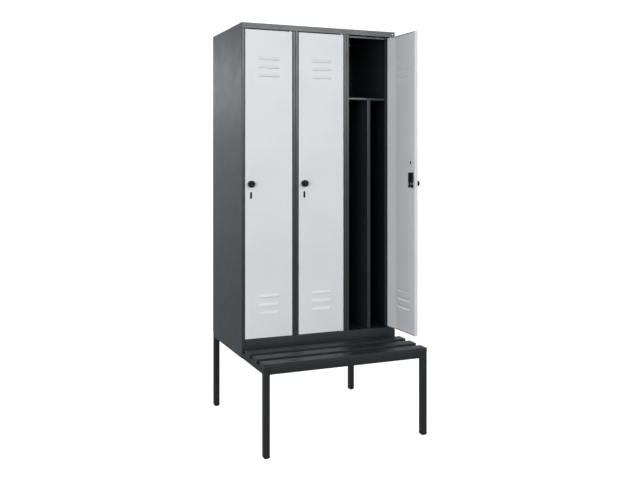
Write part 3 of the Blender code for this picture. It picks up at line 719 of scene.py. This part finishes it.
def skin_surface(low, high, face_y, case_low, case_high):
    """The door's folded sheet as an open surface: face, returns and the lip on the lock side."""
    bm, centre, first, last = skin_grid(low, high, face_y, case_low, case_high)
    open_louvres(bm, centre, first, last)
    fold_back(bm, face_rim(bm, low, high), low, high, high.y - face_y, case_low, case_high)
    levels = [low.z + lip_relief, case_low, case_high, high.z - lip_relief]
    bmesh.ops.dissolve_edges(bm, edges=spare_edges(bm, first, last, levels), use_verts=False)
    bmesh.ops.dissolve_limit(bm, angle_limit=flat_angle, verts=bm.verts, edges=[])
    folds = [edge for edge in bm.edges
             if len(edge.link_faces) == 2 and edge.calc_face_angle() > fold_angle]
    bmesh.ops.bevel(bm, geom=folds, offset=door_fold_radius, segments=door_fold_steps,
                    profile=round_profile, affect="EDGES", clamp_overlap=True)
    bmesh.ops.recalc_face_normals(bm, faces=bm.faces)
    front = [face for face in bm.faces if near(face.calc_center_median().y, face_y)]
    if sum(face.normal.y * face.calc_area() for face in front) > 0:
        bmesh.ops.reverse_faces(bm, faces=bm.faces)
    return new_mesh("skin", bm)


def door_skin(number, place, knob, case, plate):
    """The door's folded sheet with its louvres, folds and holes."""
    low, high = box_in(f"door_{number}_pan", place)
    surface = skin_surface(low, high, knob.y, case[0].z - sheet / 2, case[1].z + sheet / 2)
    plate_middle = (plate[0] + plate[1]) / 2
    plate_size = plate[1] - plate[0]
    cuts = [
        rod("spindle_hole", spindle_hole_radius, (knob.x, knob.y - overrun, knob.z),
            (knob.x, knob.y + overrun, knob.z)),
        slot_block("plate_hole", plate_size.x - 2 * sheet, plate_size.z - 2 * sheet, plate_middle.x,
                   plate_middle.z, knob.y - overrun, knob.y + overrun),
        slot_block("lip_hole", *lip_hole_size, *lip_hole_place, high.y - overrun, high.y + overrun),
    ]
    for z in (low.z, high.z):
        cuts.append(rod("pin_hole", pin_hole_radius, (0, 0, z - overrun), (0, 0, z + overrun)))
    mesh = smoothed(carved(surface, cuts, sheet))
    skin = piece(f"door_{number}_skin", mesh, "door_paint", f"door_{number}",
                 [f"door_{number}_pan"], place)
    round_edges(skin, sheet_edge, 1)


def knob_profile(radius, reach, spindle_end):
    """The (radius, height) points of a dished knob with a foot ring, and its spindle."""
    neck_radius = radius - knob_neck_inset
    points = [(0, reach - knob_dish_depth)]
    for step in range(1, knob_arc_steps + 1):
        share = step / knob_arc_steps
        points.append((knob_dish_radius * share,
                       reach - knob_dish_depth * (1 + math.cos(math.pi * share)) / 2))
    for step in range(knob_arc_steps + 1):
        angle = QUARTER_TURN * step / knob_arc_steps
        points.append((knob_face_radius + (radius - knob_face_radius) * math.sin(angle),
                       knob_rim_height + (reach - knob_rim_height) * math.cos(angle)))
    points += [
        (radius, knob_neck_height + knob_neck_inset),
        (neck_radius, knob_neck_height),
        (neck_radius, knob_base_height),
        (radius, knob_base_height),
        (radius, knob_gap),
        (spindle_radius, knob_gap),
        (spindle_radius, -spindle_end + spindle_chamfer),
        (spindle_radius - spindle_chamfer, -spindle_end),
        (0, -spindle_end),
    ]
    return points


def knob(number, place, axis_point):
    """The turn knob with its spindle, and the washer that holds it behind the bolt."""
    low, high = box_in(f"door_{number}_knob", place)
    radius = (high.z - low.z) / 2
    face = Matrix.Translation(axis_point) @ Matrix.Rotation(QUARTER_TURN, 4, "X")
    profile = knob_profile(radius, axis_point.y - low.y, high.y - axis_point.y)
    turned_knob = piece(f"door_{number}_turn_knob", turned("knob", profile, knob_segments),
                        "lock_plastic", f"knob_{number}", [f"door_{number}_knob"], place @ face)
    round_edges(turned_knob, knob_edge)
    bolt_back = box_in(f"door_{number}_bolt", place)[1].y
    start = axis_point.y - bolt_back - washer_gap
    end = start - washer_thickness
    ring = [
        (spindle_radius, start),
        (washer_radius - washer_chamfer, start),
        (washer_radius, start - washer_chamfer),
        (washer_radius, end + washer_chamfer),
        (washer_radius - washer_chamfer, end),
        (spindle_radius, end),
        (spindle_radius, start),
    ]
    piece(f"door_{number}_spindle_washer", turned("washer", ring, hole_segments), "pin_steel",
          f"knob_{number}", place=place @ face)


def flanged_slot(name, width, height, proud, depth, body_inset, bore_size, bore_depth):
    """A slot-shaped piece with a rounded rim in front of y = 0 and a narrower body behind it."""
    bm = bmesh.new()
    rings = [(0, -rim_gap)] + [(inset, fall - proud) for inset, fall in rim_points]
    loops = []
    for inset, y in rings:
        outline = slot_outline(width - 2 * inset, height - 2 * inset)
        loops.append([bm.verts.new((px, y, pz)) for px, pz in outline])
    for outer, inner in zip(loops, loops[1:]):
        bridge(bm, outer, inner)
    bm.faces.new(loops[-1])
    back = slot_outline(width - 2 * body_inset, height - 2 * body_inset)
    shoulder = [bm.verts.new((px, -rim_gap, pz)) for px, pz in back]
    end = [bm.verts.new((px, depth, pz)) for px, pz in back]
    bridge(bm, shoulder, loops[0])
    bridge(bm, end, shoulder)
    bm.faces.new(end)
    bore = slot_block("bore", *bore_size, 0, 0, -proud - overrun, bore_depth)
    return smoothed(carved(closed_mesh(name, bm), [bore]))


def slot_plate(number, place, low, high, face_y):
    """The escutcheon: a rounded rim, a sunk field and a key slot with round ends."""
    size = high - low
    proud = face_y - low.y
    mesh = flanged_slot("slot_plate", size.x, size.z, proud, high.y - face_y, plate_body_inset,
                        key_slot_size, key_slot_depth - proud)
    at = Matrix.Translation(((low.x + high.x) / 2, face_y, (low.z + high.z) / 2))
    plate = piece(f"door_{number}_key_plate", mesh, "lock_plastic", f"door_{number}",
                  [f"door_{number}_slot_plate"], place @ at)
    round_edges(plate, fine_edge)


def lip_guide(number, place, lip_y):
    """The black plastic guide in the slotted hole of the door's lip."""
    width, height = lip_hole_size
    mesh = flanged_slot("lip_guide", width + 2 * guide_flange, height + 2 * guide_flange,
                        guide_proud, guide_depth, guide_flange + guide_body_clearance,
                        guide_bore_size, guide_depth + overrun)
    x, z = lip_hole_place
    at = Matrix.Translation((x, lip_y, z)) @ Matrix.Rotation(HALF_TURN, 4, "Z")
    guide = piece(f"door_{number}_lip_guide", mesh, "lock_plastic", f"door_{number}",
                  place=place @ at)
    round_edges(guide, fine_edge)


def lock_case(number, place, low, high, knob_at):
    """The black case: rounded, with an arched flange below, the bolt's groove and a sunk panel."""
    body = block("lock_case", low, high, case_rounding, case_rounding_steps)
    middle_x = (low.x + high.x) / 2
    bolt_front = box_in(f"door_{number}_bolt", place)[0].y
    groove_top = knob_at.z + case_groove_half
    groove_bottom = knob_at.z - case_groove_half
    panel_low = Vector((low.x + case_panel_inset, high.y - case_panel_depth,
                        groove_top + case_panel_inset))
    panel_high = Vector((high.x - case_panel_inset, high.y + overrun,
                         high.z - case_panel_top_inset))
    cuts = [
        block("behind_flange", (low.x - overrun, low.y - overrun, low.z - overrun),
              (high.x + overrun, high.y - case_flange_thickness, low.z + case_flange_height)),
        rod("arch", case_arch_radius, (middle_x, low.y - overrun, low.z),
            (middle_x, high.y + overrun, low.z), 2 * hole_segments),
        rod("bore", spindle_hole_radius, (knob_at.x, low.y - overrun, knob_at.z),
            (knob_at.x, high.y + overrun, knob_at.z)),
        block("groove", (low.x - overrun, bolt_front - bolt_clearance, groove_bottom),
              (high.x + overrun, high.y + overrun, groove_top)),
        block("panel", panel_low, panel_high),
    ]
    mesh = smoothed(carved(body, cuts))
    case = piece(f"door_{number}_case", mesh, "lock_plastic", f"door_{number}",
                 [f"door_{number}_lock_case"], place)
    round_edges(case, case_edge)
    case_rib(number, place, (middle_x, (panel_low.z + panel_high.z) / 2), panel_low.y,
             high.y - case_rib_drop)
    case_screws(number, place, low, high)


def case_rib(number, place, centre, y_front, y_back):
    """The flat rib that stands in the lock case's sunk panel."""
    x, z = centre
    half_width, half_height = (length / 2 for length in case_rib_size)
    rib = block("case_rib", (x - half_width, y_front, z - half_height),
                (x + half_width, y_back, z + half_height))
    rib = piece(f"door_{number}_case_rib", rib, "lock_plastic", f"door_{number}", place=place)
    round_edges(rib, fine_edge)


def case_screws(number, place, low, high):
    """The two screws in the lock case's upper corners."""
    back = Matrix.Rotation(-QUARTER_TURN, 4, "X")
    screw_z = high.z - case_screw_drop
    for side, x in (("free", low.x + case_screw_inset), ("hinge", high.x - case_screw_inset)):
        at = place @ Matrix.Translation((x, high.y - screw_height, screw_z)) @ back
        screw = piece(f"door_{number}_case_screw_{side}", screw_mesh(screw_radius, screw_height),
                      "pin_steel", f"door_{number}", place=at)
        round_edges(screw, fine_edge)


def screw_mesh(radius, height):
    """A low domed screw head with a cross recess, standing on its origin."""
    bottom = height * (1 - screw_dome_share)
    profile = dome_points(radius, bottom, height) + [(radius, 0), (0, 0)]
    head = turned("screw", profile, hole_segments)
    arm = radius * cross_arm_share
    half = radius * cross_half_share
    cuts = [
        block("cross", (-arm, -half, bottom), (arm, half, height + overrun)),
        block("cross", (-half, -arm, bottom), (half, arm, height + overrun)),
    ]
    return smoothed(carved(head, cuts))


# Fasteners, cups and welds of the cabinet

def bead(name, path, across):
    """A rippled weld bead along a line of points that lies in a plane; across is its normal."""
    spots = []
    for start, end in zip(path, path[1:]):
        line = Vector(end) - Vector(start)
        count = max(1, round(line.length / bead_step))
        spots += [(Vector(start) + line * step / count, line.normalized()) for step in range(count)]
    bm = bmesh.new()
    rings = []
    for index, (point, along) in enumerate(spots):
        ripple = 1 + bead_ripple_share * math.cos(FULL_TURN * index * bead_step / bead_ripple_pitch)
        from_end = min(index, len(spots) - 1 - index) + 1
        radius = bead_radius * ripple * math.sqrt(min(1, from_end / bead_end_steps))
        outward = along.cross(across)
        ring = []
        for side in range(bead_sides):
            angle = FULL_TURN * side / bead_sides
            ring.append(bm.verts.new(point + (outward * math.cos(angle) + across * math.sin(angle))
                                     * radius))
        rings.append(ring)
    for ring, after in zip(rings, rings[1:]):
        bridge(bm, ring, after)
    bm.faces.new(rings[0])
    bm.faces.new(rings[-1])
    piece(name, smoothed(closed_mesh(name, bm), fold_angle), "frame_paint", "cabinet")


def seam_path(first, second, bottom, top, both_sides):
    """(across, z) points of a seam down a tube's first side, under it and up its second side."""
    way = 1 if second > first else -1
    points = [
        (first + way * bead_sunk, top - bead_top_gap),
        (first + way * bead_sunk, bottom + tube_corner),
        (first + way * tube_corner, bottom + bead_sunk),
        (second - way * tube_corner, bottom + bead_sunk),
        (second - way * bead_sunk, bottom + tube_corner),
        (second - way * bead_sunk, top - bead_top_gap),
    ]
    return points if both_sides else points[2:]


def frame_welds():
    """Beads where the rails meet legs and side rails, kept off the faces that other pieces touch."""
    for side in ("left", "right"):
        rail_low, rail_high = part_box(f"side_rail_{side}")
        outer, inner = rail_low.x, rail_high.x
        if side == "right":
            outer, inner = inner, outer
        for end, y, both in (("front", rail_low.y, True), ("rear", rail_high.y, False)):
            points = seam_path(outer, inner, rail_low.z, rail_high.z, both)
            bead(f"weld_{end}_{side}", [(x, y, z) for x, z in points], Vector((0, 1, 0)))
        for name in ("front", "middle", "rear"):
            low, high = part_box(f"{name}_rail")
            x = low.x if side == "left" else high.x
            hidden, open_side = (high.y, low.y) if name == "rear" else (low.y, high.y)
            points = seam_path(hidden, open_side, low.z, high.z, name == "middle")
            bead(f"weld_{name}_rail_{side}", [(x, y, z) for y, z in points], Vector((1, 0, 0)))


def rivet_column(name, x, y, heights, turn, radius, height):
    """Domed rivet heads one above another on an upright sheet."""
    bm = bmesh.new()
    head = turned("rivet", dome_points(radius, 0, height) + [(0, 0)], hole_segments)
    for z in heights:
        before = len(bm.verts)
        bm.from_mesh(head)
        bm.verts.ensure_lookup_table()
        place = Matrix.Translation((x, y, z)) @ Matrix.Rotation(turn, 4, "X")
        bmesh.ops.transform(bm, matrix=place, verts=bm.verts[before:])
    bpy.data.meshes.remove(head)
    piece(name, smoothed(closed_mesh(name, bm)), "pin_steel", "cabinet")


def cabinet_rivets():
    """Rivets that hold the back panel to the partitions, and the one on the roof's fascia."""
    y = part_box("back_panel")[1].y
    spacing = (rivet_last - rivet_first) / (rivet_rows - 1)
    heights = [rivet_first + row * spacing for row in range(rivet_rows)]
    for number in partition_numbers:
        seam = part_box(f"partition_{number}_left_sheet")[1].x
        for side, way in (("left", -1), ("right", 1)):
            rivet_column(f"back_rivets_{number}_{side}", seam + way * rivet_offset, y, heights,
                         -QUARTER_TURN, rivet_radius, rivet_height)
    x, z = fascia_rivet_place
    rivet_column("fascia_rivet", x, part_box("roof")[0].y, [z], QUARTER_TURN, fascia_rivet_radius,
                 fascia_rivet_height)


def underframe_screws():
    """Screws that hold the slats, and hex bolts with washers that hold the cabinet, from below."""
    for side in ("left", "right"):
        rail_low, rail_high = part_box(f"side_rail_{side}")
        x = (rail_low.x + rail_high.x) / 2
        for number in slat_numbers:
            low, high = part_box(f"bench_slat_{number}")
            y = max((low.y + high.y) / 2, rail_low.y + slat_screw_inset)
            at = Matrix.Translation((x, y, rail_low.z)) @ Matrix.Rotation(HALF_TURN, 4, "X")
            screw = piece(f"slat_{number}_screw_{side}",
                          screw_mesh(slat_screw_radius, slat_screw_height), "pin_steel", "cabinet",
                          place=at)
            round_edges(screw, fine_edge)
        for number, y in enumerate(hex_bolt_places, 1):
            top = rail_low.z - washer_thickness
            washer = rod("washer", hex_washer_radius, (x, y, rail_low.z), (x, y, top))
            washer = piece(f"cabinet_washer_{number}_{side}", washer, "pin_steel", "cabinet")
            round_edges(washer, fine_edge)
            head = rod("hex", hex_radius, (x, y, top), (x, y, top - hex_height), hex_sides)
            bolt = piece(f"cabinet_bolt_{number}_{side}", head, "pin_steel", "cabinet")
            round_edges(bolt, hex_edge)


def rail_cups():
    """The flanged cups that hold both ends of each clothes rail."""
    for number in door_numbers:
        low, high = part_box(f"clothes_rail_{number}")
        inner = (high.z - low.z) / 2 + cup_clearance
        ring = [
            (inner, 0),
            (cup_radius, 0),
            (cup_radius, cup_flange - cup_chamfer),
            (cup_radius - cup_chamfer, cup_flange),
            (cup_sleeve_radius + cup_chamfer, cup_flange),
            (cup_sleeve_radius, cup_flange + cup_chamfer),
            (cup_sleeve_radius, cup_sleeve_length),
            (inner, cup_sleeve_length),
            (inner, 0),
        ]
        y = (low.y + high.y) / 2
        z = (low.z + high.z) / 2
        for side, x, turn in (("left", low.x, QUARTER_TURN), ("right", high.x, -QUARTER_TURN)):
            at = Matrix.Translation((x, y, z)) @ Matrix.Rotation(turn, 4, "Y")
            cup = piece(f"rail_{number}_cup_{side}", turned("cup", ring, hole_segments),
                        "rail_steel", "cabinet", place=at)
            round_edges(cup, fine_edge)


def corner_seams():
    """The filled and painted corners between the side panels and the fascia below the doors."""
    left_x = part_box("side_panel_left")[0].x
    tray_low, tray_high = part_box("floor_tray")
    for side, x, way in (("left", left_x, 1), ("right", -left_x, -1)):
        ends = sorted((x + way * corner_seam_inset, x + way * corner_seam_size))
        seam = block("corner_seam", (ends[0], tray_low.y + corner_seam_inset, tray_low.z),
                     (ends[1], tray_low.y + corner_seam_size, tray_high.z - sliver))
        seam = piece(f"corner_seam_{side}", seam, "cabinet_paint", "cabinet")
        round_edges(seam, corner_seam_rounding, corner_seam_steps)


# Main pieces

dress_nodes()
corner_seams()
frame_welds()
cabinet_rivets()
underframe_screws()
rail_cups()
for number in door_numbers:
    place = door_place(number)
    knob_at = place.inverted() @ Vector(JOINTS[f"door_{number}_knob_turn"]["pos_m"])
    case_box = box_in(f"door_{number}_lock_case", place)
    plate_box = box_in(f"door_{number}_slot_plate", place)
    door_skin(number, place, knob_at, case_box, plate_box)
    lip_guide(number, place, box_in(f"door_{number}_pan", place)[1].y)
    knob(number, place, knob_at)
    slot_plate(number, place, *plate_box, knob_at.y)
    lock_case(number, place, *case_box, knob_at)


# Floor, light and camera

def studio_floor():
    bm = bmesh.new()
    bmesh.ops.create_grid(bm, x_segments=1, y_segments=1, size=floor_half)
    floor = bpy.data.objects.new("studio_floor", new_mesh("studio_floor", bm))
    bpy.context.scene.collection.objects.link(floor)
    material = bpy.data.materials.new("pale_floor")
    material.use_nodes = True
    shader = material.node_tree.nodes["Principled BSDF"]
    shader.inputs["Base Color"].default_value = (floor_tone, floor_tone, floor_tone, 1)
    shader.inputs["Roughness"].default_value = floor_roughness
    shader.inputs["Specular IOR Level"].default_value = 0
    shader.inputs["Emission Color"].default_value = (1, 1, 1, 1)
    shader.inputs["Emission Strength"].default_value = floor_glow
    floor.data.materials.append(material)
    floor.visible_glossy = False
    floor.visible_diffuse = False


def sky_ramp(tree, height, stops):
    """The sky's colour over the height of the direction looked in."""
    ramp = add_node(tree, "ShaderNodeValToRGB")
    tree.links.new(height, ramp.inputs["Fac"])
    elements = ramp.color_ramp.elements
    while len(elements) < len(stops):
        elements.new(0.5)
    for element, (at, level) in zip(elements, stops):
        element.position = at
        element.color = (*(level * part for part in sky_tint), 1)
    return ramp.outputs["Color"]


def studio_world():
    """White behind the object, and a soft gradient from a dim ground to a bright sky as its light."""
    world = bpy.data.worlds.new("studio")
    bpy.context.scene.world = world
    world.use_nodes = True
    tree = world.node_tree
    tree.nodes.clear()
    place = add_node(tree, "ShaderNodeTexCoord")
    parts = add_node(tree, "ShaderNodeSeparateXYZ")
    tree.links.new(place.outputs["Generated"], parts.inputs["Vector"])
    height = spread(tree, parts.outputs["Z"], -1, 1)
    rearward = spread(tree, parts.outputs["Y"], *sky_change)
    skies = [sky_ramp(tree, height, stops) for stops in (front_sky, rear_sky)]
    light = add_node(tree, "ShaderNodeBackground")
    tree.links.new(blend_colours(tree, rearward, *skies), light.inputs["Color"])
    light.inputs["Strength"].default_value = sky_strength
    behind = add_node(tree, "ShaderNodeBackground",
                      values={"Color": (1, 1, 1, 1), "Strength": backdrop_strength})
    path = add_node(tree, "ShaderNodeLightPath")
    mix = add_node(tree, "ShaderNodeMixShader")
    tree.links.new(path.outputs["Is Camera Ray"], mix.inputs["Fac"])
    tree.links.new(light.outputs["Background"], mix.inputs[1])
    tree.links.new(behind.outputs["Background"], mix.inputs[2])
    output = add_node(tree, "ShaderNodeOutputWorld")
    tree.links.new(mix.outputs["Shader"], output.inputs["Surface"])


def soft_box(name, at, target, width, height, power):
    """A large soft light that faces a point."""
    data = bpy.data.lights.new(name, "AREA")
    data.shape = "RECTANGLE"
    data.size = width
    data.size_y = height
    data.energy = power
    light = bpy.data.objects.new(name, data)
    bpy.context.scene.collection.objects.link(light)
    light.location = at
    light.rotation_euler = (Vector(target) - Vector(at)).to_track_quat("-Z", "Y").to_euler()


def studio_camera():
    data = bpy.data.cameras.new("camera")
    data.lens = camera_lens
    data.sensor_width = camera_sensor
    data.shift_x, data.shift_y = camera_shift
    data.clip_end = camera_reach
    camera = bpy.data.objects.new("camera", data)
    bpy.context.scene.collection.objects.link(camera)
    camera.location = camera_place
    camera.rotation_euler = (QUARTER_TURN, 0, camera_turn)
    bpy.context.scene.camera = camera


studio_floor()
studio_world()
for light in soft_lights:
    soft_box(*light)
studio_camera()

scene = bpy.context.scene
scene.view_settings.view_transform = "Standard"
scene.view_settings.look = "None"
